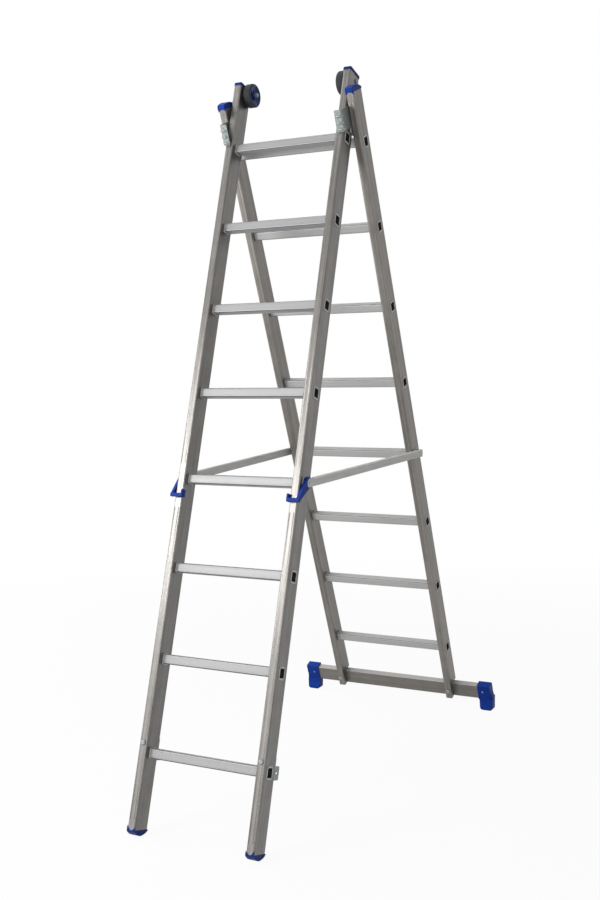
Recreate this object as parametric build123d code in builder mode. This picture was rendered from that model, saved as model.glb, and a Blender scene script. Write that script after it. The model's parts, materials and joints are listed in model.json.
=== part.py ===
from build123d import *
from math import asin, atan2, cos, hypot, radians, sin, tan
import os

# Combination ladder of two aluminium sections, standing open as an A-frame.
# X runs across the ladder, +Y from the front section to the back section, +Z up.
# The origin is on the floor, midway between the feet.
# Each section has its own leaned frame: X across, Y to the rear, Z up along the stiles,
# with its origin on the axis of the lowest rung. Sizes are in millimetres and degrees.

# Both sections
rung_count = 8
rung_pitch = 280.0
opening_angle = 39.2
front_width = 429.0
section_gap = 6.0

# Stile tube
stile_width = 26.0
stile_depth = 68.0
stile_wall = 1.8
stile_corner = 4.0
front_tail = 223.0
front_head = 222.0
back_head = 162.0

# Rung tube, with the rim and the bead that lock it in the stiles
rung_height = 30.0
rung_depth = 28.0
rung_wall = 1.6
rung_corner = 5.0
rung_clearance = 0.1
groove_width = 2.0
groove_depth = 0.5
groove_inset = 6.5
rim_lip = 4.0
rim_thickness = 1.2
bead_lip = 1.6
bead_length = 4.0

# Fold pivot, above the top rung axis and off the middle of each section
pivot_rise_front = 37.0
pivot_behind_front = 23.0
pivot_rise_back = 44.0
pivot_before_back = 25.0
stud_radius = 5.0
stud_head_radius = 7.5
stud_head_thickness = 3.0
stud_tail_radius = 6.0
stud_play = 0.05
bush_wall = 2.0
bush_flange_radius = 9.5
bush_fit = 0.05
axial_play = 0.5

# Guide bracket, a bent zinc-plated plate on each back stile
plate_thickness = 2.5
plate_bend_radius = 4.0
plate_corner = 4.0
guide_rise = 54.0
guide_height = 68.0
guide_clearance = 0.6
guide_lap = 24.5
guide_tab_behind = 5.0
guide_tab_drop = 17.0
guide_rib_count = 3
guide_rib_pitch = 20.5
guide_rib_below = 20.0
guide_rib_length = 15.0
guide_rib_radius = 5.0
guide_rib_proud = 2.6
guide_rivet_radius = 2.5
guide_rivet_head_radius = 4.5
guide_rivet_head = 1.2
guide_rivet_spacing = 34.0
guide_rivet_before = 10.0

# Top caps
cap_lip = 1.5
cap_round = 2.0
plug_clearance = 0.2
front_cap_rise = 9.5
front_cap_plug = 10.0
back_cap_lip = 0.8
back_cap_nose = 5.5
back_cap_nose_round = 10.0
back_cap_front_rise = 14.0
back_cap_middle_rise = 18.0
back_cap_rear_rise = 6.0
back_cap_rear_round = 3.0
back_cap_plug = 25.0
back_cap_tab_drop = 8.0
back_cap_tab_width = 8.0
back_cap_tab = 2.0

# Front foot
foot_lip = 1.0
foot_edge = 3.0
foot_drop = 17.0
foot_flat = 0.8
foot_plug = 25.0
foot_tab_rise_outer = 13.0
foot_tab_rise_inner = 9.0
foot_tab_width = 9.0
foot_tab_return = 3.0

# Wheel at the top of each front stile
wheel_radius = 39.0
wheel_width = 28.5
wheel_rise = 204.0
wheel_behind = 15.0
wheel_play = 0.5
spacer_length = 2.0
spacer_radius = 8.0
spacer_fit = 0.1
tyre_thickness = 5.5
tyre_round = 4.0
tyre_fit = 0.05
hub_web = 18.5
hub_boss_radius = 11.0
hub_rim_thickness = 4.0
hub_spoke_count = 6
hub_spoke_width = 4.0
hub_spoke_inset = 1.5
axle_radius = 4.0
axle_play = 0.05
axle_head_radius = 8.0
axle_head_thickness = 5.0
axle_head_round = 2.0
axle_nut_radius = 7.5
axle_nut_thickness = 7.0
axle_end = 3.0

# Rung hooks behind the lowest front rung, each held by a bolt through the stile
hook_plate = 3.0
hook_width = 22.0
hook_rise_inner = 10.0
hook_rise_outer = 18.0
hook_fall = 22.0
hook_behind = 28.0
hook_slot_width = 5.0
hook_slot_length = 14.0
hook_tab_rise = 42.0
hook_corner = 6.0

# Bolts across the stiles, with domed heads in front and nuts behind
bolt_radius = 4.0
bolt_clearance = 0.1
bolt_head_radius = 8.0
bolt_head_height = 4.5
bolt_head_round = 3.6
bolt_nut_radius = 7.5
bolt_nut_thickness = 6.5
bolt_end = 2.0
hook_bolt_rise = 29.0
bar_bolt_below = 20.0

# Stabiliser bar, let into the back stiles from the rear
bar_height = 58.0
bar_depth = 25.0
bar_wall = 2.0
bar_corner = 2.5
bar_length = 788.0
bar_drop = 173.0
bar_inset = 15.0
bar_lap = 52.5
bar_clearance = 0.2

# Stabiliser shoes, sleeved on the ends of the bar
shoe_lap = 46.5
shoe_wall = 4.0
shoe_top_wall = 6.5
shoe_end_wall = 5.0
shoe_drop = 52.0
shoe_heel = 4.0
shoe_bulge = 5.0
shoe_step = 2.0
shoe_round = 4.0
shoe_toe_round = 12.0
shoe_taper_inner = 3.0
shoe_taper_outer = 1.0
shoe_toe_out = 3.0
shoe_toe_height = 17.0
shoe_flare = 0.25
shoe_rivet_radius = 2.5
shoe_rivet_head_radius = 3.6
shoe_rivet_head = 1.8
shoe_rivet_inset = 20.0
shoe_rivet_drop = 22.0
shoe_rivet_tail = 3.0

# Tie bars, from a rung end of the back section to the front stiles
tie_rung = 4
tie_height = 26.0
tie_thickness = 6.0
tie_wall = 1.2
tie_tail = 24.0
tie_standoff = 8.5
tie_end_solid = 20.0
tie_end_rise = 4.0
tie_end_behind = 10.0
tie_end_out = 7.0
tie_stow_angle = 6.0
tie_pin_radius = 4.0
tie_pin_play = 0.05
tie_pin_head_radius = 7.0
tie_pin_head = 2.0
tie_pin_head_play = 0.3
tie_boss_radius = 8.0
tie_boss_gap = 0.8
tie_plug_height = 15.0
tie_plug_length = 42.0
tie_plug_clearance = 0.2
tie_rivet_radius = 3.0
tie_rivet_fit = 0.05

# Moulded hooks on the tie bars, round the front stiles
grip_wall = 4.0
grip_before = 5.0
grip_clearance = 0.15
grip_gap = 1.7
grip_lap = 0.5
arm_toe_radius = 5.0
cross_drop = 62.0
cross_height = 11.5
cross_thickness = 13.0
cross_gap = 0.6
cross_round = 2.0
lip_gap = 0.8
lip_width = 4.5
lip_rise = 24.0
lip_depth = 20.0

# Derived places
back_width = front_width + 2 * (section_gap + stile_width)
front_outer = front_width / 2
front_inner = front_outer - stile_width
front_middle = front_outer - stile_width / 2
back_outer = back_width / 2
back_inner = back_outer - stile_width
back_middle = back_outer - stile_width / 2
half_depth = stile_depth / 2
top_rung = (rung_count - 1) * rung_pitch
front_top = top_rung + front_head
back_top = top_rung + back_head
pivot_front = (pivot_behind_front, top_rung + pivot_rise_front)
pivot_back = (-pivot_before_back, top_rung + pivot_rise_back)
wheel_centre = (wheel_behind, top_rung + wheel_rise)
wheel_outer = front_inner - spacer_length - wheel_play
wheel_inner = wheel_outer - wheel_width
guide_bottom = top_rung + guide_rise
guide_top = guide_bottom + guide_height
guide_middle = (guide_bottom + guide_top) / 2
guide_rivet_places = [
    (-guide_rivet_before, guide_middle - guide_rivet_spacing / 2),
    (-guide_rivet_before, guide_middle + guide_rivet_spacing / 2),
]
bar_rear = half_depth - bar_inset
bar_front = bar_rear - bar_depth
bar_middle = bar_rear - bar_depth / 2
bar_bottom = -bar_drop - bar_height
bar_bolt_height = -bar_drop - bar_bolt_below
back_tail = bar_drop + bar_lap
shoe_sole = bar_bottom - shoe_drop
shoe_inner = bar_length / 2 - shoe_lap
shoe_outer = bar_length / 2 + shoe_end_wall
shoe_toe_place = (bar_front - shoe_wall, bar_bottom)
shoe_heel_place = (bar_rear + shoe_wall, bar_bottom)
foot_half = half_depth + foot_lip
foot_sag = foot_drop - foot_edge
foot_radius = (foot_half**2 + foot_sag**2) / (2 * foot_sag)
foot_centre = -front_tail - foot_drop + foot_radius


def leans():
    """Return the front and back lean, in radians, that stand both pairs of feet on one floor."""
    opening = radians(opening_angle)
    front_run = foot_centre - pivot_front[1]
    back_run = shoe_sole - pivot_back[1]
    back_offset = bar_middle - pivot_back[0]
    along = front_run - back_run * cos(opening) - back_offset * sin(opening)
    across = pivot_front[0] - back_run * sin(opening) + back_offset * cos(opening)
    front = atan2(-along, across) + asin((foot_radius - foot_flat) / hypot(along, across))
    return front, opening - front


front_lean, back_lean = leans()
pivot_z = foot_radius - foot_flat - pivot_front[0] * sin(front_lean)
pivot_z += (pivot_front[1] - foot_centre) * cos(front_lean)
front_reach = (front_tail + foot_edge + pivot_front[1]) * sin(front_lean)
front_reach += (foot_half + pivot_front[0]) * cos(front_lean)
back_reach = (pivot_back[1] - shoe_heel_place[1]) * sin(back_lean) + shoe_heel
back_reach += (shoe_heel_place[0] - pivot_back[0]) * cos(back_lean)
pivot_y = (front_reach - back_reach) / 2

FRONT = Plane(
    origin=(
        0,
        pivot_y - pivot_front[1] * sin(front_lean) - pivot_front[0] * cos(front_lean),
        pivot_z - pivot_front[1] * cos(front_lean) + pivot_front[0] * sin(front_lean),
    ),
    x_dir=(1, 0, 0),
    z_dir=(0, sin(front_lean), cos(front_lean)),
)
BACK = Plane(
    origin=(
        0,
        pivot_y + pivot_back[1] * sin(back_lean) - pivot_back[0] * cos(back_lean),
        pivot_z - pivot_back[1] * cos(back_lean) - pivot_back[0] * sin(back_lean),
    ),
    x_dir=(1, 0, 0),
    z_dir=(0, -sin(back_lean), cos(back_lean)),
)

up_back = Axis(BACK.origin, BACK.z_dir)
rear_back = Axis(BACK.origin, BACK.y_dir)
up_front = Axis(FRONT.origin, FRONT.z_dir)
rear_front = Axis(FRONT.origin, FRONT.y_dir)

# The right-hand tie bar lies in the plane through its rest and its stowed direction.
tie_level = (tie_rung - 1) * rung_pitch
tie_end = (tie_end_behind, tie_level + tie_end_rise)
tie_pivot_x = back_outer + tie_standoff + tie_thickness / 2
tie_end_x = front_outer + tie_end_out
tie_start = BACK.from_local_coords(Vector(tie_pivot_x, 0, tie_level))
tie_finish = FRONT.from_local_coords(Vector(tie_end_x, *tie_end))
tie_run = tie_finish - tie_start
tie_stowed = BACK.z_dir * cos(radians(tie_stow_angle)) - BACK.y_dir * sin(radians(tie_stow_angle))
tie_axis = tie_run.cross(tie_stowed).normalized()
TIE = Plane(origin=tie_start, x_dir=tie_run.normalized(), z_dir=-tie_axis)

os.makedirs("parts", exist_ok=True)


def leaned(section, plane):
    """Return a plane given in a section's own frame, placed in the ladder."""
    return Plane(section.location * plane.location)


def side(section, x):
    """Return the plane square to X at x, with its sketch axes to the rear and up the stile."""
    return leaned(section, Plane.YZ.offset(x))


def face(section, rear):
    """Return the plane square to the depth, facing the front, with its sketch axes X and up."""
    return leaned(section, Plane.XZ.offset(-rear))


def level(section, height):
    """Return the plane across the stiles at a height, with its sketch axes X and to the rear."""
    return leaned(section, Plane.XY.offset(height))


def write(piece, name):
    """Label a finished piece and write it."""
    piece.part.label = name
    export_step(piece.part, f"parts/{name}.step")


def write_pair(piece, name):
    """Write a right-hand piece and its left-hand mirror image."""
    write(piece, f"{name}_right")
    with BuildPart() as other:
        mirror(piece.part, about=Plane.YZ)
    write(other, f"{name}_left")


def block(section, corner, opposite):
    """Add a box between two corners, given across, to the rear and up, to the part in hand."""
    x_span, rear_span, up_span = zip(corner, opposite)
    with BuildSketch(level(section, up_span[0])) as profile:
        with Locations((sum(x_span) / 2, sum(rear_span) / 2)):
            Rectangle(abs(x_span[1] - x_span[0]), abs(rear_span[1] - rear_span[0]))
    extrude(profile.sketch, amount=up_span[1] - up_span[0])


def stile_tube(section, outer, bottom, top):
    """Add a right-hand stile tube, with a window for each rung through it, to the part in hand."""
    bore = (stile_width - 2 * stile_wall, stile_depth - 2 * stile_wall)
    with BuildSketch(level(section, bottom)) as profile:
        with Locations((outer - stile_width / 2, 0)):
            RectangleRounded(stile_width, stile_depth, stile_corner)
            Rectangle(*bore, mode=Mode.SUBTRACT)
    extrude(profile.sketch, amount=top - bottom)
    with BuildSketch(side(section, outer)) as profile:
        with Locations(*[(0, number * rung_pitch) for number in range(rung_count)]):
            RectangleRounded(
                rung_depth + 2 * rung_clearance,
                rung_height + 2 * rung_clearance,
                rung_corner + rung_clearance,
            )
    extrude(profile.sketch, amount=-stile_width, mode=Mode.SUBTRACT)


def stile_plug(section, middle, end, length):
    """Add the plug that fills the bore of a stile from its end to the part in hand."""
    with BuildSketch(level(section, end)) as profile:
        with Locations((middle, 0)):
            Rectangle(
                stile_width - 2 * stile_wall - 2 * plug_clearance,
                stile_depth - 2 * stile_wall - 2 * plug_clearance,
            )
    extrude(profile.sketch, amount=length)


def rung_collar(section, x, height, lip, length):
    """Add a collar round a rung, from x outwards, to the part in hand."""
    with BuildSketch(side(section, x)) as profile:
        with Locations((0, height)):
            RectangleRounded(rung_depth + 2 * lip, rung_height + 2 * lip, rung_corner + lip)
    extrude(profile.sketch, amount=length)


def rung(section, outer, height):
    """Return one rung: a grooved tube with a rim outside and a bead inside each stile."""
    bead = outer - stile_width - bead_length
    groove_spread = rung_height - 2 * groove_inset
    with BuildPart() as tube:
        with BuildSketch(side(section, 0)):
            with Locations((0, height)):
                RectangleRounded(rung_depth, rung_height, rung_corner)
                with GridLocations(rung_depth, groove_spread, 2, 2):
                    Rectangle(2 * groove_depth, groove_width, mode=Mode.SUBTRACT)
        extrude(amount=bead)
        rung_collar(section, bead, height, bead_lip, bead_length)
        rung_collar(section, bead, height, 0, outer - bead)
        rung_collar(section, outer, height, rim_lip, rim_thickness)
        with BuildSketch(side(section, 0)):
            with Locations((0, height)):
                RectangleRounded(
                    rung_depth - 2 * rung_wall, rung_height - 2 * rung_wall, rung_corner - rung_wall
                )
        extrude(amount=outer + rim_thickness, mode=Mode.SUBTRACT)
        mirror(about=Plane.YZ)
    return tube


def round_hole(plane, centre, radius, depth):
    """Cut a round hole of a depth behind a plane from the part in hand."""
    with BuildSketch(plane) as profile:
        with Locations(centre):
            Circle(radius)
    extrude(profile.sketch, amount=-depth, mode=Mode.SUBTRACT)


def bolt_pair(section, x, height, front, rear):
    """Return two bolts across the stile depth, each with a domed head in front."""
    places = [(x, height), (-x, height)]
    with BuildPart() as bolts:
        with BuildSketch(face(section, front)) as seat:
            with Locations(*places):
                Circle(bolt_head_radius)
        extrude(amount=bolt_head_height)
        out = Axis(seat.workplanes[0].origin, seat.workplanes[0].z_dir)
        fillet(bolts.edges().group_by(out)[-1], bolt_head_round)
        with BuildSketch(face(section, front)):
            with Locations(*places):
                Circle(bolt_radius)
        extrude(amount=front - rear - bolt_nut_thickness - bolt_end)
    return bolts


def nut_pair(section, x, height, rear):
    """Return the two nuts of a pair of bolts, on a seat to the rear."""
    with BuildPart() as nuts:
        with BuildSketch(face(section, rear)):
            with Locations((x, height), (-x, height)):
                RegularPolygon(bolt_nut_radius, 6)
                Circle(bolt_radius + bolt_clearance, mode=Mode.SUBTRACT)
        extrude(amount=-bolt_nut_thickness)
    return nuts


# Back stiles, notched at the rear of the foot for the stabiliser bar
with BuildPart() as back_stile:
    stile_tube(BACK, back_outer, -back_tail, back_top)
    with BuildSketch(side(BACK, back_outer)):
        with Locations((half_depth, -bar_drop + bar_clearance)):
            Rectangle(
                bar_inset + bar_depth + bar_clearance,
                bar_height + bar_clearance,
                align=(Align.MAX, Align.MAX),
            )
    extrude(amount=-stile_width, mode=Mode.SUBTRACT)
    for rivet_place in guide_rivet_places:
        round_hole(side(BACK, back_inner + stile_wall), rivet_place, guide_rivet_radius, stile_wall)
    round_hole(side(BACK, back_inner + stile_wall), pivot_back, stud_radius, stile_wall)
    bolt_place = (back_middle, bar_bolt_height)
    round_hole(face(BACK, -half_depth), bolt_place, bolt_radius + bolt_clearance, stile_wall)
write_pair(back_stile, "back_stile")

for number in range(rung_count):
    write(rung(BACK, back_outer, number * rung_pitch), f"back_rung_{number + 1}")

# Back caps, crowned, with a rounded nose and two corner tabs before the stile
with BuildPart() as back_cap:
    cap_rear = half_depth + back_cap_lip
    cap_nose = -half_depth - back_cap_nose
    with BuildSketch(side(BACK, back_inner - back_cap_lip)) as profile:
        with BuildLine():
            Polyline(
                (cap_rear, back_top + back_cap_rear_rise),
                (cap_rear, back_top),
                (cap_nose, back_top),
                (cap_nose, back_top + back_cap_front_rise),
            )
            ThreePointArc(
                (cap_nose, back_top + back_cap_front_rise),
                (0, back_top + back_cap_middle_rise),
                (cap_rear, back_top + back_cap_rear_rise),
            )
        make_face()
        fillet(profile.vertices().group_by(Axis.X)[0].sort_by(Axis.Y)[-1], back_cap_nose_round)
        fillet(profile.vertices().group_by(Axis.X)[-1].sort_by(Axis.Y)[-1], back_cap_rear_round)
    extrude(amount=stile_width + 2 * back_cap_lip)
    for cheek in (back_cap.faces().sort_by(Axis.X)[0], back_cap.faces().sort_by(Axis.X)[-1]):
        fillet(cheek.edges().sort_by(up_back)[1:], cap_round)
    stile_plug(BACK, back_middle, back_top, -back_cap_plug)
    for tab_x, inward in ((back_inner - back_cap_lip, 1), (back_outer + back_cap_lip, -1)):
        with BuildSketch(face(BACK, -half_depth)):
            with BuildLine():
                Polyline(
                    (tab_x, back_top),
                    (tab_x, back_top - back_cap_tab_drop),
                    (tab_x + inward * back_cap_tab_width, back_top),
                    close=True,
                )
            make_face()
        extrude(amount=back_cap_tab)
write_pair(back_cap, "back_cap")

# Guide brackets, with a tab on the back stile for the pivot, a flange round the front stile, which
# the open front stile just clears at the lower edge, and stiffening ribs on both sides of the bend
stile_reach = (pivot_behind_front + half_depth) / cos(radians(opening_angle))
stile_reach -= (guide_bottom - pivot_back[1]) * tan(radians(opening_angle))
guide_rear = pivot_back[0] - stile_reach - guide_clearance
guide_front = guide_rear - plate_thickness
with BuildPart() as guide_bracket:
    with BuildSketch(side(BACK, back_inner - plate_thickness)):
        with BuildLine():
            Polyline(
                (guide_front, guide_bottom),
                (guide_front, guide_top),
                (guide_tab_behind, guide_top),
                (guide_tab_behind, pivot_back[1] - guide_tab_drop),
                (-half_depth, pivot_back[1] - guide_tab_drop),
                (-half_depth, guide_bottom),
                close=True,
            )
        make_face()
    extrude(amount=plate_thickness)
    block(
        BACK,
        (back_inner - guide_lap, guide_front, guide_bottom),
        (back_inner, guide_rear, guide_top),
    )
    upright_edges = guide_bracket.edges().filter_by(up_back).group_by(Axis.X)[-1]
    fillet(upright_edges.sort_by(rear_back)[0], plate_bend_radius)
    flange_corners = guide_bracket.edges().filter_by(rear_back).group_by(Axis.X)[0]
    fillet(flange_corners, plate_corner)
    rib_heights = [guide_top - guide_rib_below - step * guide_rib_pitch for step in range(guide_rib_count)]
    rib_sink = guide_rib_radius - guide_rib_proud
    with BuildSketch(side(BACK, back_inner - plate_bend_radius - guide_rib_length)):
        with Locations(*[(guide_front + rib_sink, height) for height in rib_heights]):
            Circle(guide_rib_radius)
        with Locations((guide_front + plate_thickness / 2, guide_middle)):
            Rectangle(
                2 * guide_rib_radius,
                guide_height,
                align=(Align.MIN, Align.CENTER),
                mode=Mode.SUBTRACT,
            )
    extrude(amount=guide_rib_length)
    with BuildSketch(face(BACK, guide_front + plate_bend_radius)):
        with Locations(*[(back_inner - rib_sink, height) for height in rib_heights]):
            Circle(guide_rib_radius)
        with Locations((back_inner - plate_thickness / 2, guide_middle)):
            Rectangle(
                2 * guide_rib_radius,
                guide_height,
                align=(Align.MAX, Align.CENTER),
                mode=Mode.SUBTRACT,
            )
    extrude(amount=-guide_rib_length)
    for rivet_place in guide_rivet_places:
        round_hole(side(BACK, back_inner), rivet_place, guide_rivet_radius, plate_thickness)
    round_hole(side(BACK, back_inner), pivot_back, stud_radius, plate_thickness)
write_pair(guide_bracket, "guide_bracket")

with BuildPart() as guide_rivets:
    with BuildSketch(side(BACK, back_inner - plate_thickness - guide_rivet_head)):
        with Locations(*guide_rivet_places):
            Circle(guide_rivet_head_radius)
    extrude(amount=guide_rivet_head)
    with BuildSketch(side(BACK, back_inner - plate_thickness)):
        with Locations(*guide_rivet_places):
            Circle(guide_rivet_radius)
    extrude(amount=plate_thickness + stile_wall)
    with BuildSketch(side(BACK, back_inner + stile_wall)):
        with Locations(*guide_rivet_places):
            Circle(guide_rivet_head_radius)
    extrude(amount=guide_rivet_head)
    mirror(about=Plane.YZ)
write(guide_rivets, "guide_rivets")

# Pivot studs, riveted through the bracket tab and headed inside the front stile
with BuildPart() as pivot_stud:
    stud_head_x = front_outer - stile_wall - axial_play
    with BuildSketch(side(BACK, stud_head_x)):
        with Locations(pivot_back):
            Circle(stud_radius)
    extrude(amount=back_inner + stile_wall - stud_head_x)
    with BuildSketch(side(BACK, stud_head_x)):
        with Locations(pivot_back):
            Circle(stud_head_radius)
    extrude(amount=-stud_head_thickness)
    with BuildSketch(side(BACK, back_inner + stile_wall)):
        with Locations(pivot_back):
            Circle(stud_tail_radius)
    extrude(amount=stud_head_thickness)
write_pair(pivot_stud, "pivot_stud")

# Stabiliser bar
with BuildPart() as stabiliser_bar:
    with BuildSketch(side(BACK, 0)):
        with Locations((bar_middle, -bar_drop - bar_height / 2)):
            RectangleRounded(bar_depth, bar_height, bar_corner)
            Rectangle(bar_depth - 2 * bar_wall, bar_height - 2 * bar_wall, mode=Mode.SUBTRACT)
    extrude(amount=bar_length / 2, both=True)
    for x in (back_middle, -back_middle):
        bolt_place = (x, bar_bolt_height)
        round_hole(face(BACK, bar_front), bolt_place, bolt_radius + bolt_clearance, bar_depth)
    for x in (shoe_inner + shoe_rivet_inset, -shoe_inner - shoe_rivet_inset):
        rivet_place = (x, -bar_drop - shoe_rivet_drop)
        round_hole(face(BACK, bar_front), rivet_place, shoe_rivet_radius, bar_wall)
write(stabiliser_bar, "stabiliser_bar")
write(bolt_pair(BACK, back_middle, bar_bolt_height, -half_depth, bar_rear), "stabiliser_bolts")
write(nut_pair(BACK, back_middle, bar_bolt_height, bar_rear), "stabiliser_nuts")

# Stabiliser shoes, each an upright foot with a toe and a sole flat on the floor, under a leaned sleeve
with BuildPart() as stabiliser_shoe:
    toe = BACK.from_local_coords(Vector(0, *shoe_toe_place))
    heel = BACK.from_local_coords(Vector(0, *shoe_heel_place))
    with BuildSketch(Plane.YZ.offset(shoe_inner + shoe_step)):
        with BuildLine():
            Polyline(
                (toe.Y - shoe_toe_out, 0),
                (toe.Y - shoe_toe_out, shoe_toe_height),
                (toe.Y, shoe_toe_height + shoe_toe_out),
                (toe.Y, toe.Z),
                (heel.Y, heel.Z + shoe_heel),
                (heel.Y + shoe_heel, heel.Z),
                (heel.Y + shoe_heel, 0),
                close=True,
            )
        make_face()
    extrude(amount=shoe_outer + shoe_bulge - shoe_inner - shoe_step)
    with BuildSketch(Plane.XZ) as front_view:
        with BuildLine():
            Polyline(
                (shoe_inner + shoe_step, heel.Z + shoe_heel),
                (shoe_inner + shoe_step + shoe_taper_inner, 0),
                (shoe_outer + shoe_bulge - shoe_taper_outer, 0),
                (shoe_outer + shoe_bulge, heel.Z + shoe_heel),
                close=True,
            )
        make_face()
        fillet(front_view.vertices().group_by(Axis.Y)[0], shoe_toe_round)
    extrude(amount=-heel.Y - 2 * shoe_heel, mode=Mode.INTERSECT)
    fillet(stabiliser_shoe.faces().sort_by(Axis.Z)[0].edges().filter_by(Axis.X), shoe_round)
    with BuildSketch(side(BACK, shoe_inner)):
        with Locations((bar_front - shoe_wall, bar_bottom - shoe_wall)):
            RectangleRounded(
                bar_depth + 2 * shoe_wall,
                bar_height + shoe_wall + shoe_top_wall,
                shoe_round,
                align=(Align.MIN, Align.MIN),
            )
    extrude(amount=shoe_outer - shoe_inner)
    with BuildSketch(face(BACK, bar_front - shoe_wall + shoe_round)):
        with BuildLine():
            Polyline(
                (shoe_outer, -bar_drop),
                (shoe_outer, bar_bottom - shoe_wall),
                (shoe_outer + shoe_bulge, bar_bottom - shoe_wall),
                (shoe_outer + shoe_bulge, bar_bottom),
            )
            ThreePointArc(
                (shoe_outer + shoe_bulge, bar_bottom),
                (shoe_outer + shoe_flare * shoe_bulge, -bar_drop - bar_height / 2),
                (shoe_outer, -bar_drop),
            )
        make_face()
    extrude(amount=2 * shoe_round - bar_depth - 2 * shoe_wall)
    with BuildSketch(side(BACK, shoe_inner)):
        with Locations((bar_middle, -bar_drop - bar_height / 2)):
            Rectangle(bar_depth + 2 * bar_clearance, bar_height + 2 * bar_clearance)
    extrude(amount=shoe_lap + bar_clearance, mode=Mode.SUBTRACT)
    rivet_place = (shoe_inner + shoe_rivet_inset, -bar_drop - shoe_rivet_drop)
    round_hole(face(BACK, bar_front - shoe_wall), rivet_place, shoe_rivet_radius, shoe_wall)
write_pair(stabiliser_shoe, "stabiliser_shoe")

with BuildPart() as shoe_rivets:
    rivet_place = (shoe_inner + shoe_rivet_inset, -bar_drop - shoe_rivet_drop)
    with BuildSketch(face(BACK, bar_front - shoe_wall)):
        with Locations(rivet_place):
            Circle(shoe_rivet_head_radius)
    extrude(amount=shoe_rivet_head)
    with BuildSketch(face(BACK, bar_front - shoe_wall)):
        with Locations(rivet_place):
            Circle(shoe_rivet_radius)
    extrude(amount=-shoe_wall - bar_wall - shoe_rivet_tail)
    mirror(about=Plane.YZ)
write(shoe_rivets, "shoe_rivets")

# Tie pivots, each a plug in the rung end, a boss and a headed pin square to the tie bar
with BuildPart() as tie_pivot:
    plug_end = back_outer + rim_thickness
    with BuildSketch(side(BACK, plug_end)):
        with Locations((0, tie_level)):
            Rectangle(rung_depth - 2 * rung_wall - 2 * tie_plug_clearance, tie_plug_height)
    extrude(amount=-tie_plug_length)
    with BuildSketch(side(BACK, plug_end)):
        with Locations((0, tie_level)):
            Circle(tie_boss_radius)
    extrude(amount=tie_standoff - rim_thickness - tie_boss_gap)
    with BuildSketch(TIE.offset(-tie_thickness / 2 + tie_wall + tie_pin_head_play)):
        Circle(tie_pin_radius)
    extrude(amount=-tie_standoff)
    with BuildSketch(TIE.offset(-tie_thickness / 2 + tie_wall + tie_pin_head_play)):
        Circle(tie_pin_head_radius)
    extrude(amount=tie_pin_head)
write_pair(tie_pivot, "tie_pivot")

# Front stiles
with BuildPart() as front_stile:
    stile_tube(FRONT, front_outer, -front_tail, front_top)
    round_hole(side(FRONT, front_outer), wheel_centre, axle_radius + spacer_fit, stile_width)
    bush_hole = stud_radius + stud_play + bush_wall + bush_fit
    round_hole(side(FRONT, front_outer), pivot_front, bush_hole, stile_wall)
    bolt_place = (front_middle, hook_bolt_rise)
    round_hole(face(FRONT, -half_depth), bolt_place, bolt_radius + bolt_clearance, stile_depth)
write_pair(front_stile, "front_stile")

for number in range(rung_count):
    write(rung(FRONT, front_outer, number * rung_pitch), f"front_rung_{number + 1}")

# Front caps
with BuildPart() as front_cap:
    with BuildSketch(level(FRONT, front_top)):
        with Locations((front_middle, 0)):
            RectangleRounded(
                stile_width + 2 * cap_lip, stile_depth + 2 * cap_lip, stile_corner + cap_lip
            )
    extrude(amount=front_cap_rise)
    fillet(front_cap.edges().group_by(up_front)[-1], cap_round)
    stile_plug(FRONT, front_middle, front_top, -front_cap_plug)
write_pair(front_cap, "front_cap")

# Front feet, round underneath with a small flat on the floor
with BuildPart() as front_foot:
    with BuildSketch(side(FRONT, front_inner - foot_lip)):
        with BuildLine():
            Polyline(
                (-foot_half, -front_tail - foot_edge),
                (-foot_half, -front_tail),
                (foot_half, -front_tail),
                (foot_half, -front_tail - foot_edge),
            )
            ThreePointArc(
                (foot_half, -front_tail - foot_edge),
                (0, -front_tail - foot_drop),
                (-foot_half, -front_tail - foot_edge),
            )
        make_face()
    extrude(amount=stile_width + 2 * foot_lip)
    split(bisect_by=Plane.XY, keep=Keep.TOP)
    stile_plug(FRONT, front_middle, -front_tail, foot_plug)
    for tab_x, inward, foot_tab_rise in (
        (front_inner - foot_lip, 1, foot_tab_rise_inner),
        (front_outer + foot_lip, -1, foot_tab_rise_outer),
    ):
        with BuildSketch(face(FRONT, -half_depth)):
            with BuildLine():
                Polyline(
                    (tab_x, -front_tail),
                    (tab_x, -front_tail + foot_tab_rise),
                    (tab_x + inward * (foot_lip + foot_tab_width), -front_tail),
                    close=True,
                )
            make_face()
        extrude(amount=foot_lip)
        with BuildSketch(side(FRONT, tab_x)):
            with BuildLine():
                Polyline(
                    (-foot_half, -front_tail),
                    (-foot_half, -front_tail + foot_tab_rise),
                    (-half_depth + foot_tab_return, -front_tail),
                    close=True,
                )
            make_face()
        extrude(amount=inward * foot_lip)
write_pair(front_foot, "front_foot")

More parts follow.
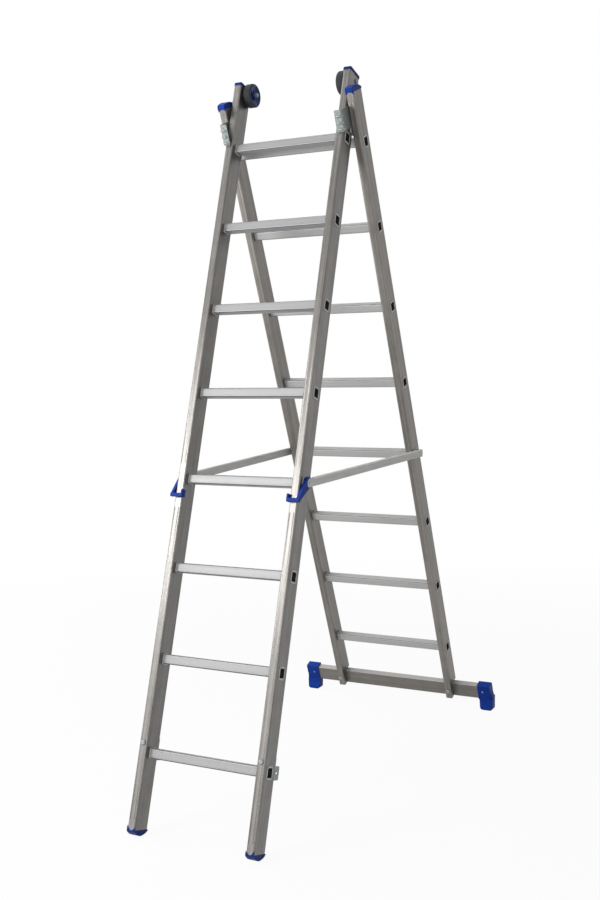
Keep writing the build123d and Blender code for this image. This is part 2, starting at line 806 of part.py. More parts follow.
# Rung hooks, bent channels with slotted cheeks behind the front stiles
with BuildPart() as rung_hook:
    block(
        FRONT,
        (front_middle - hook_width / 2, half_depth, -hook_fall),
        (front_middle + hook_width / 2, half_depth + hook_plate, hook_tab_rise),
    )
    for cheek_x, hook_rise in (
        (front_middle - hook_width / 2, hook_rise_inner),
        (front_middle + hook_width / 2 - hook_plate, hook_rise_outer),
    ):
        with BuildSketch(side(FRONT, cheek_x)):
            with Locations((half_depth, -hook_fall)):
                Rectangle(hook_behind, hook_rise + hook_fall, align=(Align.MIN, Align.MIN))
            with Locations((half_depth + (hook_plate + hook_behind) / 2, (hook_rise - hook_fall) / 2)):
                SlotOverall(hook_slot_length, hook_slot_width, mode=Mode.SUBTRACT)
        extrude(amount=hook_plate)
    tips = rung_hook.edges().filter_by(Axis.X).group_by(rear_front)[-1]
    fillet(tips, hook_corner)
    bolt_place = (front_middle, hook_bolt_rise)
    round_hole(face(FRONT, half_depth), bolt_place, bolt_radius + bolt_clearance, hook_plate)
write_pair(rung_hook, "rung_hook")
hook_seat = half_depth + hook_plate
write(bolt_pair(FRONT, front_middle, hook_bolt_rise, -half_depth, hook_seat), "hook_bolts")
write(nut_pair(FRONT, front_middle, hook_bolt_rise, hook_seat), "hook_nuts")

# Flanged bushes of the fold pivot
with BuildPart() as pivot_bush:
    with BuildSketch(side(FRONT, front_outer)):
        with Locations(pivot_front):
            Circle(bush_flange_radius)
    extrude(amount=section_gap - plate_thickness - axial_play)
    with BuildSketch(side(FRONT, front_outer)):
        with Locations(pivot_front):
            Circle(stud_radius + stud_play + bush_wall)
    extrude(amount=-stile_wall)
    with BuildSketch(side(FRONT, front_outer + section_gap)):
        with Locations(pivot_front):
            Circle(stud_radius + stud_play)
    extrude(amount=-section_gap - stile_wall, mode=Mode.SUBTRACT)
write_pair(pivot_bush, "pivot_bush")

# Wheels on bolts through the tops of the front stiles
hub_radius = wheel_radius - tyre_thickness
hub_inner = hub_radius - hub_rim_thickness
hub_recess = (wheel_width - hub_web) / 2
with BuildPart() as wheel_hub:
    with BuildSketch(side(FRONT, wheel_inner)):
        with Locations(wheel_centre):
            Circle(hub_radius)
    extrude(amount=wheel_width)
    for recess_x in (wheel_inner, wheel_outer - hub_recess):
        with BuildSketch(side(FRONT, recess_x)):
            with Locations(wheel_centre):
                Circle(hub_inner)
                Circle(hub_boss_radius, mode=Mode.SUBTRACT)
        extrude(amount=hub_recess, mode=Mode.SUBTRACT)
    with BuildSketch(side(FRONT, wheel_inner + hub_spoke_inset)):
        with Locations(wheel_centre):
            with PolarLocations((hub_inner + hub_boss_radius) / 2, hub_spoke_count):
                Rectangle(hub_inner - hub_boss_radius + hub_rim_thickness / 2, hub_spoke_width)
    extrude(amount=wheel_width - 2 * hub_spoke_inset)
    round_hole(side(FRONT, wheel_outer), wheel_centre, axle_radius + axle_play, wheel_width)
write_pair(wheel_hub, "wheel_hub")

with BuildPart() as wheel_tyre:
    with BuildSketch(side(FRONT, wheel_inner)):
        with Locations(wheel_centre):
            Circle(wheel_radius)
    extrude(amount=wheel_width)
    fillet(wheel_tyre.edges().filter_by(GeomType.CIRCLE), tyre_round)
    round_hole(side(FRONT, wheel_outer), wheel_centre, hub_radius + tyre_fit, wheel_width)
write_pair(wheel_tyre, "wheel_tyre")

nut_x = wheel_inner - wheel_play
with BuildPart() as wheel_axle:
    with BuildSketch(side(FRONT, front_outer)):
        with Locations(wheel_centre):
            Circle(axle_head_radius)
    extrude(amount=axle_head_thickness)
    fillet(wheel_axle.edges().group_by(Axis.X)[-1], axle_head_round)
    with BuildSketch(side(FRONT, front_outer)):
        with Locations(wheel_centre):
            Circle(axle_radius)
    extrude(amount=nut_x - axle_nut_thickness - axle_end - front_outer)
write_pair(wheel_axle, "wheel_axle")

with BuildPart() as wheel_nuts:
    with BuildSketch(side(FRONT, nut_x)):
        with Locations(wheel_centre):
            RegularPolygon(axle_nut_radius, 6)
            Circle(axle_radius + spacer_fit, mode=Mode.SUBTRACT)
    extrude(amount=-axle_nut_thickness)
    mirror(about=Plane.YZ)
write(wheel_nuts, "wheel_nuts")

with BuildPart() as wheel_spacers:
    with BuildSketch(side(FRONT, front_inner)):
        with Locations(wheel_centre):
            Circle(spacer_radius)
            Circle(axle_radius + spacer_fit, mode=Mode.SUBTRACT)
    extrude(amount=-spacer_length)
    mirror(about=Plane.YZ)
write(wheel_spacers, "wheel_spacers")


def tie_outline(growth):
    """Add the outline of a tie bar, grown all round, to the sketch in hand."""
    length = tie_tail + tie_run.length
    with Locations((-tie_tail, 0)):
        Rectangle(length, tie_height + 2 * growth, align=(Align.MIN, Align.CENTER))
    with Locations((tie_run.length, 0)):
        Circle(tie_height / 2 + growth)


# Tie bars, tubes with a rounded solid front end
with BuildPart() as tie_bar:
    with BuildSketch(TIE):
        tie_outline(0)
    extrude(amount=tie_thickness / 2, both=True)
    with BuildSketch(TIE):
        with Locations((-tie_tail, 0)):
            Rectangle(
                tie_tail + tie_run.length - tie_end_solid,
                tie_height - 2 * tie_wall,
                align=(Align.MIN, Align.CENTER),
            )
    extrude(amount=tie_thickness / 2 - tie_wall, both=True, mode=Mode.SUBTRACT)
    inner_face = TIE.offset(-tie_thickness / 2)
    with BuildSketch(inner_face):
        Circle(tie_pin_radius + tie_pin_play)
    extrude(amount=tie_wall, mode=Mode.SUBTRACT)
    with BuildSketch(inner_face):
        with Locations((tie_run.length, 0)):
            Circle(tie_rivet_radius + tie_rivet_fit)
    extrude(amount=tie_thickness, mode=Mode.SUBTRACT)
write_pair(tie_bar, "tie_bar")

# Hooks on the tie bars, with an arm beside the front stile, a cross piece before it and a lip inside
cross_middle = tie_end[1] - cross_drop
cross_rear = -half_depth - cross_gap
cross_front = cross_rear - cross_thickness
grip_inner = front_outer + grip_gap
grip_outer = tie_end_x + tie_thickness / 2 + grip_lap
lip_outer = front_inner - lip_gap
with BuildPart() as bar_hook:
    with BuildSketch(side(FRONT, grip_inner)):
        with Locations((tie_end[0] - grip_before, tie_end[1])):
            Circle(tie_height / 2 + grip_wall)
        with Locations((cross_front + arm_toe_radius, cross_middle)):
            Circle(arm_toe_radius)
        make_hull()
    extrude(amount=grip_outer - grip_inner)
    with BuildSketch(side(FRONT, lip_outer - lip_width)):
        with Locations((cross_front + cross_thickness / 2, cross_middle)):
            RectangleRounded(cross_thickness, cross_height, cross_round)
    extrude(amount=grip_outer - lip_outer + lip_width)
    with BuildSketch(side(FRONT, lip_outer - lip_width)):
        with Locations((cross_front + lip_depth / 2, cross_middle + (lip_rise - cross_height) / 2)):
            RectangleRounded(lip_depth, lip_rise, cross_round)
    extrude(amount=lip_width)
    with BuildSketch(TIE.offset(-tie_thickness / 2 - grip_clearance)):
        tie_outline(grip_clearance)
    extrude(amount=2 * tie_thickness, mode=Mode.SUBTRACT)
    with BuildSketch(TIE.offset(-tie_thickness / 2)):
        with Locations((tie_run.length, 0)):
            Circle(tie_rivet_radius + tie_rivet_fit)
    extrude(amount=-tie_thickness, mode=Mode.SUBTRACT)
write_pair(bar_hook, "bar_hook")

# Rivets through the hooks and the bar ends, flush outside
with BuildPart() as tie_rivet:
    with BuildSketch(TIE.offset(tie_thickness / 2)):
        with Locations((tie_run.length, 0)):
            Circle(tie_rivet_radius)
    extrude(amount=-tie_thickness / 2 - tie_end_out + grip_gap)
write_pair(tie_rivet, "tie_rivet")
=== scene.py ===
"""Looks of an aluminium combination ladder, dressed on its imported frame."""
import json
import logging
import math
from abc import ABC, abstractmethod
from collections.abc import Sequence
from dataclasses import dataclass
from enum import Enum

import bmesh
import bpy
from mathutils import Euler, Matrix, Vector


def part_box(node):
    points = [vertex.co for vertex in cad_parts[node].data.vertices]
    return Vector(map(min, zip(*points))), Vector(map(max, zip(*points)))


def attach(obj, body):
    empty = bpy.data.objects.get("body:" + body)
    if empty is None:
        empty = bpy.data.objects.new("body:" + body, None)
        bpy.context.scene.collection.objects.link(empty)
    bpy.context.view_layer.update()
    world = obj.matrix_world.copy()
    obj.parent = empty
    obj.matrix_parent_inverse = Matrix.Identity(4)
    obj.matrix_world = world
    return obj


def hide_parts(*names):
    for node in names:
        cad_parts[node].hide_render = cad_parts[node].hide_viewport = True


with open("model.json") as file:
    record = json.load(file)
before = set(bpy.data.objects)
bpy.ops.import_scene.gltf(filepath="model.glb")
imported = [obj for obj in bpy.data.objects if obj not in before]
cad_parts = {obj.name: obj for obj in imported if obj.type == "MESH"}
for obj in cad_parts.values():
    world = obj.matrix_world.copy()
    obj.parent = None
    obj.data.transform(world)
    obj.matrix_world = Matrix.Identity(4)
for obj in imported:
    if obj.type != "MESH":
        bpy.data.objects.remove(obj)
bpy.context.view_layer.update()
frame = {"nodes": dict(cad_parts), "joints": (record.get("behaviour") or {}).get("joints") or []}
log = logging.getLogger("ladder")

RUNG_COUNT = 8
RUNG_PITCH = 0.28
RUNG_DEPTH = 0.028
RUNG_HEIGHT = 0.030

Colour = tuple[float, float, float]
Point = tuple[float, float, float]
Span = tuple[float, float]
Profile = Sequence[tuple[float, float]]


class Hand(Enum):
    """Side of the ladder, with the sign of its X."""

    LEFT = -1
    RIGHT = 1

    @property
    def word(self) -> str:
        """The side's ending in the names of nodes."""
        return self.name.lower()


class Run(Enum):
    """Way that the streaks of drawn metal run in a section's own frame."""

    ACROSS = 0
    REAR = 1
    UP = 2


def middle(node: str) -> Vector:
    """Return the middle of a CAD node's box."""
    low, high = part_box(node)
    return (low + high) / 2


def even(size: float) -> Vector:
    """Return a step of one size along every axis."""
    return Vector((size, size, size))


def tint(colour: Colour, factor: float) -> Colour:
    """Return a colour made lighter or darker."""
    red, green, blue = (min(1.0, part * factor) for part in colour)
    return red, green, blue


@dataclass(frozen=True)
class Section:
    """One leaned section, with its own frame: across, to the rear and up the stiles."""

    name: str
    origin: Vector
    lean: float

    @classmethod
    def of(cls, name: str) -> "Section":
        """Read a section's frame from its lowest and its highest rung.

        Args:
            name: the section's beginning in the names of nodes.

        Returns:
            The section, with its origin on the axis of the lowest rung.
        """
        low = middle(f"{name}_rung_1")
        rise = middle(f"{name}_rung_{RUNG_COUNT}") - low
        return cls(name, low, math.atan2(-rise.y, rise.z))

    @property
    def body(self) -> str:
        """The CAD body that the section's pieces ride on."""
        return f"{self.name}_section"

    @property
    def matrix(self) -> Matrix:
        """The move from the section's frame to the ladder's."""
        return Matrix.Translation(self.origin) @ Matrix.Rotation(self.lean, 4, "X")

    @property
    def outer(self) -> float:
        """Place across of the outer faces of the stiles."""
        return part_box(f"{self.name}_stile_right")[1].x

    @property
    def inner(self) -> float:
        """Place across of the inner faces of the stiles."""
        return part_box(f"{self.name}_stile_right")[0].x


class Form:
    """A shape in the making, with short calls to the mesh operators."""

    merge: float = 1e-6  # metres between vertices that become one
    corner_steps: int = 4
    rim_angle: float = 1.0  # radians past which an edge of a ring is rounded
    sharp_angle: float = math.radians(38)  # past which an edge is shaded sharp

    def __init__(self) -> None:
        """Start an empty shape."""
        self.mesh = bmesh.new()

    def since(self, before: set[bmesh.types.BMVert]) -> list[bmesh.types.BMVert]:
        """Return the vertices that aren't in an earlier set of them."""
        return [vert for vert in self.mesh.verts if vert not in before]

    def slab(self, low: Vector, high: Vector, soft: float, segments: int = 2) -> None:
        """Add a box between two corners with rounded edges.

        Args:
            low: its lowest corner.
            high: its highest corner.
            soft: width of the rounding.
            segments: steps in the rounding.
        """
        place = Matrix.Translation((low + high) / 2) @ Matrix.Diagonal((*(high - low), 1.0))
        made = bmesh.ops.create_cube(self.mesh, size=1.0, matrix=place)["verts"]
        self.soften(list({edge for vert in made for edge in vert.link_edges}), soft, segments)

    def soften(self, edges: list[bmesh.types.BMEdge], soft: float, segments: int = 2) -> None:
        """Round edges by a width, in a number of steps."""
        bmesh.ops.bevel(
            self.mesh, geom=edges, offset=soft, offset_type="OFFSET", segments=segments, profile=0.5,
            affect="EDGES", clamp_overlap=True, material=-1,
        )

    def ring(self, size: Span, corner: float, wall: float, thick: float, place: Matrix) -> None:
        """Add a flat ring with rounded corners and rounded edges.

        Args:
            size: its outer width and height.
            corner: radius of its outer corners.
            wall: width of the ring's band.
            thick: thickness of the ring, behind its own plane.
            place: the move from its own plane to its place.
        """
        before = set(self.mesh.verts)
        made = bmesh.ops.create_grid(self.mesh, x_segments=1, y_segments=1, size=0.5)["verts"]
        bmesh.ops.scale(self.mesh, vec=(*size, 1.0), verts=made)
        bmesh.ops.bevel(
            self.mesh, geom=made, offset=corner, offset_type="OFFSET", segments=self.corner_steps,
            profile=0.5, affect="VERTICES", material=-1,
        )
        sheet = next(face for face in self.mesh.faces if not before.intersection(face.verts))
        band = bmesh.ops.inset_region(
            self.mesh, faces=[sheet], thickness=wall, use_boundary=True, use_even_offset=True
        )["faces"]
        bmesh.ops.delete(self.mesh, geom=[sheet], context="FACES")
        bmesh.ops.solidify(self.mesh, geom=band, thickness=thick)
        edges = {edge for vert in self.since(before) for edge in vert.link_edges}
        self.soften([edge for edge in edges if edge.calc_face_angle(0.0) > self.rim_angle], thick / 3)
        bmesh.ops.transform(self.mesh, matrix=place, verts=self.since(before))

    def turned(
        self, profile: Profile, place: Matrix, steps: int = 24, closed: bool = False
    ) -> list[bmesh.types.BMVert]:
        """Add a shape turned about X.

        Args:
            profile: places along X, each with its radius.
            place: the move from its own axis to its place.
            steps: faces round the shape.
            closed: whether the last place joins the first, as on a ring.

        Returns:
            The shape's vertices.
        """
        before = set(self.mesh.verts)
        verts = [self.mesh.verts.new((along, 0.0, radius)) for along, radius in profile]
        ends = verts[1:] + verts[:1] if closed else verts[1:]
        edges = [self.mesh.edges.new(pair) for pair in zip(verts, ends)]
        bmesh.ops.spin(
            self.mesh, geom=verts + edges, cent=(0, 0, 0), axis=(1, 0, 0), angle=math.tau, steps=steps,
            use_merge=True,
        )
        fresh = self.since(before)
        bmesh.ops.transform(self.mesh, matrix=place, verts=fresh)
        return fresh

    def finish(
        self, name: str, place: Matrix, finish: bpy.types.Material, body: str, slot: str, *nodes: str
    ) -> bpy.types.Object:
        """Make the shape a piece of the ladder.

        Args:
            name: the piece's name.
            place: the move from the frame it was made in to the ladder's.
            finish: its material.
            body: the CAD body that it rides on.
            slot: the record's material slot; not used.
            nodes: the CAD nodes that it stands for, if any.

        Returns:
            The piece.
        """
        bmesh.ops.remove_doubles(self.mesh, verts=self.mesh.verts, dist=self.merge)
        bmesh.ops.transform(self.mesh, matrix=place, verts=self.mesh.verts)
        bmesh.ops.recalc_face_normals(self.mesh, faces=self.mesh.faces)
        data = bpy.data.meshes.new(name)
        self.mesh.to_mesh(data)
        self.mesh.free()
        data.shade_smooth()
        data.set_sharp_from_angle(angle=self.sharp_angle)
        data.materials.append(finish)
        piece = bpy.data.objects.new(name, data)
        bpy.context.scene.collection.objects.link(piece)
        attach(piece, body)
        if nodes:
            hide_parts(*nodes)
        return piece


class Bench:
    """A new material's node tree, with short calls to add nodes and join them."""

    def __init__(self, name: str) -> None:
        """Start a material with its output and the place on the piece.

        Args:
            name: the material's name.
        """
        self.material = bpy.data.materials.new(name)
        self.material.use_nodes = True
        self.tree = self.material.node_tree
        self.tree.nodes.clear()
        self.output = self.add("ShaderNodeOutputMaterial")
        self.place = self.add("ShaderNodeTexCoord").outputs["Object"]

    def add(self, kind: str, **settings: object) -> bpy.types.Node:
        """Add a node.

        Args:
            kind: the node's class in Blender.
            settings: the node's own options.

        Returns:
            The new node.
        """
        node = self.tree.nodes.new(kind)
        for key, value in settings.items():
            setattr(node, key, value)
        return node

    def fill(self, socket: bpy.types.NodeSocket, value: object) -> None:
        """Link a socket to another one, or set its constant.

        Args:
            socket: the input to fill.
            value: the output that feeds it, or its constant.
        """
        if isinstance(value, bpy.types.NodeSocket):
            self.tree.links.new(value, socket)
        else:
            socket.default_value = value

    def spread(self, size: Vector, turn: float = 0.0, origin: Vector = Vector()) -> bpy.types.NodeSocket:
        """Return the place on the piece, turned about X and counted in steps of a size.

        Args:
            size: length of one step along each axis, in metres.
            turn: angle about X of the pattern's frame.
            origin: the place of the frame's origin.

        Returns:
            The vector for a texture.
        """
        mapping = self.add("ShaderNodeMapping", vector_type="TEXTURE")
        self.fill(mapping.inputs["Vector"], self.place)
        self.fill(mapping.inputs["Location"], origin)
        self.fill(mapping.inputs["Rotation"], Euler((turn, 0, 0)))
        self.fill(mapping.inputs["Scale"], size)
        return mapping.outputs["Vector"]

    def axes(self, turn: float, origin: Vector) -> bpy.types.NodeOutputs:
        """Return X, Y and Z of the place on the piece, in metres in a section's frame.

        Args:
            turn: angle about X of the section's frame.
            origin: the place of the frame's origin.

        Returns:
            The three numbers by their names.
        """
        split = self.add("ShaderNodeSeparateXYZ")
        self.fill(split.inputs[0], self.spread(even(1.0), turn, origin))
        return split.outputs

    def noise(self, place: object, detail: float = 2.0, rough: float = 0.5) -> bpy.types.NodeSocket:
        """Return a smooth noise.

        Args:
            place: the vector that it is read at.
            detail: number of finer layers in it.
            rough: weight of each layer against the one before.

        Returns:
            The noise, from 0 to 1.
        """
        node = self.add("ShaderNodeTexNoise", noise_dimensions="3D")
        self.fill(node.inputs["Vector"], place)
        self.fill(node.inputs["Scale"], 1.0)
        self.fill(node.inputs["Detail"], detail)
        self.fill(node.inputs["Roughness"], rough)
        return node.outputs["Fac"]

    def cells(self, place: object) -> bpy.types.NodeSocket:
        """Return a random grey for each cell of a crystal pattern.

        Args:
            place: the vector that it is read at.

        Returns:
            The grey, from 0 to 1.
        """
        node = self.add("ShaderNodeTexVoronoi", feature="F1")
        self.fill(node.inputs["Vector"], place)
        self.fill(node.inputs["Scale"], 1.0)
        split = self.add("ShaderNodeSeparateColor")
        self.fill(split.inputs["Color"], node.outputs["Color"])
        return split.outputs["Red"]

    def sum(self, *terms: tuple[object, float]) -> bpy.types.NodeSocket:
        """Return the weighted sum of sockets.

        Args:
            terms: the sockets, each with its weight.

        Returns:
            The sum.
        """
        total: object = 0.0
        for socket, weight in terms:
            total = self.math("MULTIPLY_ADD", socket, weight, total)
        return total

    def math(self, operation: str, *values: object) -> bpy.types.NodeSocket:
        """Return the result of one operation.

        Args:
            operation: the operation's name in Blender.
            values: the sockets and constants that it takes.

        Returns:
            The result.
        """
        node = self.add("ShaderNodeMath", operation=operation)
        for socket, value in zip(node.inputs, values):
            self.fill(socket, value)
        return node.outputs[0]

    def blend(self, share: object, low: object, high: object) -> bpy.types.NodeSocket:
        """Return a colour between two.

        Args:
            share: how much of the second, from 0 to 1.
            low: the first colour.
            high: the second colour.

        Returns:
            The colour.
        """
        node = self.add("ShaderNodeMixRGB")
        for socket, value in zip(node.inputs, (share, low, high)):
            self.fill(socket, value)
        return node.outputs[0]

    def scale(self, value: object, span: Span, to: Span) -> bpy.types.NodeSocket:
        """Return a value carried from one span to another.

        Args:
            value: the number to carry.
            span: the span that it comes from.
            to: the span that it goes to and is held in.

        Returns:
            The number in its new span.
        """
        node = self.add("ShaderNodeMapRange", clamp=True)
        self.fill(node.inputs["Value"], value)
        for key, number in zip(("From Min", "From Max", "To Min", "To Max"), (*span, *to)):
            self.fill(node.inputs[key], number)
        return node.outputs["Result"]

    def ramp(self, value: object, colour: Colour, shades: Span, span: Span) -> bpy.types.NodeSocket:
        """Return a colour that goes from one shade to another.

        Args:
            value: the number that picks the shade.
            colour: the plain colour.
            shades: its factors at both ends.
            span: the numbers at both ends.

        Returns:
            The colour.
        """
        node = self.add("ShaderNodeValToRGB")
        self.fill(node.inputs["Fac"], value)
        for element, shade, stop in zip(node.color_ramp.elements, shades, span):
            element.position = stop
            element.color = (*tint(colour, shade), 1.0)
        return node.outputs["Color"]

    def bump(self, height: object, depth: float) -> bpy.types.NodeSocket:
        """Return a normal bent by a relief.

        Args:
            height: the relief, from 0 to 1.
            depth: its depth in metres.

        Returns:
            The normal.
        """
        node = self.add("ShaderNodeBump")
        self.fill(node.inputs["Height"], height)
        self.fill(node.inputs["Distance"], depth)
        self.fill(node.inputs["Strength"], 1.0)
        return node.outputs["Normal"]

    def shade(self, **values: object) -> bpy.types.Material:
        """Finish the material with a principled shader.

        Args:
            values: the shader's inputs by name, with _ for a space.

        Returns:
            The material.
        """
        shader = self.add("ShaderNodeBsdfPrincipled")
        for key, value in values.items():
            self.fill(shader.inputs[key.replace("_", " ")], value)
        self.fill(self.output.inputs["Surface"], shader.outputs["BSDF"])
        return self.material


@dataclass(frozen=True)
class DrawnAluminium:
    """Mill-finish extrusion: fine streaks along its length over broad bands and faint smudges."""

    name: str
    colour: Colour
    turn: float
    run: Run
    metallic: float = 0.25
    roughness: Span = (0.42, 0.52)
    contrast: float = 0.16
    streak: float = 0.003
    band: float = 0.011
    length: float = 0.6
    smudge: float = 0.05
    depth: float = 0.000005

    def along(self, width: float) -> Vector:
        """Return the size of a streak that runs along the piece.

        Args:
            width: the streak's width.

        Returns:
            Its size along each axis.
        """
        size = even(width)
        size[self.run.value] = self.length
        return size

    def material(self) -> bpy.types.Material:
        """Make the metal, with its streaks in colour, roughness and bump.

        Returns:
            The material.
        """
        bench = Bench(self.name)
        fine = bench.noise(bench.spread(self.along(self.streak), self.turn))
        broad = bench.noise(bench.spread(self.along(self.band), self.turn), detail=1.0)
        smudge = bench.noise(bench.spread(even(self.smudge)), detail=4.0, rough=0.6)
        tone = bench.sum((fine, 0.45), (broad, 0.3), (smudge, 0.25))
        gloss = bench.sum((fine, 0.6), (smudge, 0.4))
        shades = (1 - self.contrast, 1 + self.contrast)
        return bench.shade(
            Base_Color=self.surface(bench, bench.ramp(tone, self.colour, shades, span=(0.34, 0.66))),
            Metallic=self.metallic,
            Roughness=bench.scale(gloss, span=(0.3, 0.7), to=self.roughness),
            Normal=bench.bump(fine, self.depth),
        )

    def surface(self, bench: Bench, colour: bpy.types.NodeSocket) -> bpy.types.NodeSocket:
        """Return the metal's colour, the same all over."""
        return colour


@dataclass(frozen=True, kw_only=True)
class RungAluminium(DrawnAluminium):
    """The paler, rougher metal of the rungs, with painted shade inside their tubes."""

    origin: Vector
    roughness: Span = (0.42, 0.54)
    contrast: float = 0.07
    depth: float = 0.000006
    pitch: float = RUNG_PITCH
    half_depth: float = RUNG_DEPTH / 2
    half_height: float = RUNG_HEIGHT / 2
    # depths below the skin over which the painted shade inside the tube comes in
    bore: Span = (0.0007, 0.0011)
    dull: Colour = (0.035, 0.033, 0.032)

    def surface(self, bench: Bench, colour: bpy.types.NodeSocket) -> bpy.types.NodeSocket:
        """Return the colour with painted shade below the outer skin of the nearest rung.

        Args:
            bench: the material in the making.
            colour: the colour of the skin.

        Returns:
            The colour at each place.
        """
        place = bench.axes(self.turn, self.origin)
        nearest = bench.math("PINGPONG", place["Z"], self.pitch / 2)
        rear = bench.math("SUBTRACT", bench.math("ABSOLUTE", place["Y"]), self.half_depth)
        up = bench.math("SUBTRACT", nearest, self.half_height)
        below = bench.math("MULTIPLY", bench.math("MAXIMUM", rear, up), -1.0)
        # painted shade: the inside of each tube is coloured near-black, where shade falls in it
        return bench.blend(bench.scale(below, span=self.bore, to=(0.0, 1.0)), colour, (*self.dull, 1.0))


@dataclass(frozen=True, kw_only=True)
class BarAluminium(DrawnAluminium):
    """The dull metal of the stabiliser bar, with a painted highlight along its top."""

    origin: Vector
    # colour of the painted highlight on the bar's top face
    worn: Colour
    metallic: float = 0.15
    contrast: float = 0.3
    streak: float = 0.0035
    band: float = 0.012
    top: float = -0.173
    fade: float = 0.0012

    def surface(self, bench: Bench, colour: bpy.types.NodeSocket) -> bpy.types.NodeSocket:
        """Return the colour with a painted highlight on the top of the bar.

        Args:
            bench: the material in the making.
            colour: the colour of the sides.

        Returns:
            The colour at each place.
        """
        # painted highlight: the bar's top face is coloured lighter, as light from above falls on it
        edge = (self.top - self.fade, self.top - self.fade / 4)
        share = bench.scale(bench.axes(self.turn, self.origin)["Z"], span=edge, to=(0.0, 1.0))
        return bench.blend(share, colour, (*self.worn, 1.0))


@dataclass(frozen=True)
class MouldedPlastic:
    """Moulded plastic with a fine grain, uneven gloss and a few pale scuffs."""

    name: str
    colour: Colour
    roughness: Span = (0.38, 0.55)
    gloss: float = 0.1
    shades: Span = (0.78, 1.3)
    grain: float = 0.0007
    depth: float = 0.00006
    cloud: float = 0.012
    scuff: Point = (0.004, 0.015, 0.0012)
    scuff_turn: float = 0.5

    def material(self) -> bpy.types.Material:
        """Make the plastic, with its grain and scuffs.

        Returns:
            The material.
        """
        bench = Bench(self.name)
        grain = bench.noise(bench.spread(even(self.grain)))
        cloud = bench.noise(bench.spread(even(self.cloud)), detail=3.0)
        scuff = bench.noise(bench.spread(Vector(self.scuff), self.scuff_turn), detail=3.0, rough=0.7)
        tone = bench.sum((cloud, 0.55), (grain, 0.15), (scuff, 0.3))
        return bench.shade(
            Base_Color=bench.ramp(tone, self.colour, self.shades, span=(0.35, 0.7)),
            Roughness=bench.scale(tone, span=(0.35, 0.65), to=self.roughness),
            Specular_IOR_Level=self.gloss,
            Normal=bench.bump(grain, self.depth),
        )


@dataclass(frozen=True)
class TyreRubber:
    """Dark moulded rubber with a dusty, uneven face."""

    name: str
    colour: Colour
    roughness: Span = (0.62, 0.85)
    gloss: float = 0.3
    shades: Span = (0.7, 1.6)
    pit: float = 0.0009
    depth: float = 0.0001
    dust: float = 0.014

    def material(self) -> bpy.types.Material:
        """Make the rubber, with its dust and fine pits.

        Returns:
            The material.
        """
        bench = Bench(self.name)
        pits = bench.noise(bench.spread(even(self.pit)), detail=3.0, rough=0.65)
        dust = bench.noise(bench.spread(even(self.dust)), detail=4.0, rough=0.6)
        tone = bench.sum((dust, 0.7), (pits, 0.3))
        return bench.shade(
            Base_Color=bench.ramp(tone, self.colour, self.shades, span=(0.35, 0.7)),
            Roughness=bench.scale(tone, span=(0.35, 0.65), to=self.roughness),
            Specular_IOR_Level=self.gloss,
            Normal=bench.bump(pits, self.depth),
        )


@dataclass(frozen=True)
class ZincPlating:
    """Zinc plating on steel: a bluish crystal spangle with small scratches."""

    name: str
    colour: Colour
    spangle: float = 0.004
    roughness: Span = (0.34, 0.5)
    metallic: float = 0.5
    shades: Span = (0.8, 1.25)
    cloud: float = 0.006
    scratch: Point = (0.0006, 0.02, 0.006)
    scratch_turn: float = 0.7
    depth: float = 0.00004

    def material(self) -> bpy.types.Material:
        """Make the plating, with its spangle in colour and roughness.

        Returns:
            The material.
        """
        bench = Bench(self.name)
        spangle = bench.cells(bench.spread(even(self.spangle)))
        cloud = bench.noise(bench.spread(even(self.cloud)), detail=3.0)
        scratch = bench.noise(bench.spread(Vector(self.scratch), self.scratch_turn))
        tone = bench.sum((spangle, 0.35), (cloud, 0.4), (scratch, 0.25))
        return bench.shade(
            Base_Color=bench.ramp(tone, self.colour, self.shades, span=(0.3, 0.7)),
            Metallic=self.metallic,
            Roughness=bench.scale(tone, span=(0.3, 0.7), to=self.roughness),
            Normal=bench.bump(scratch, self.depth),
        )


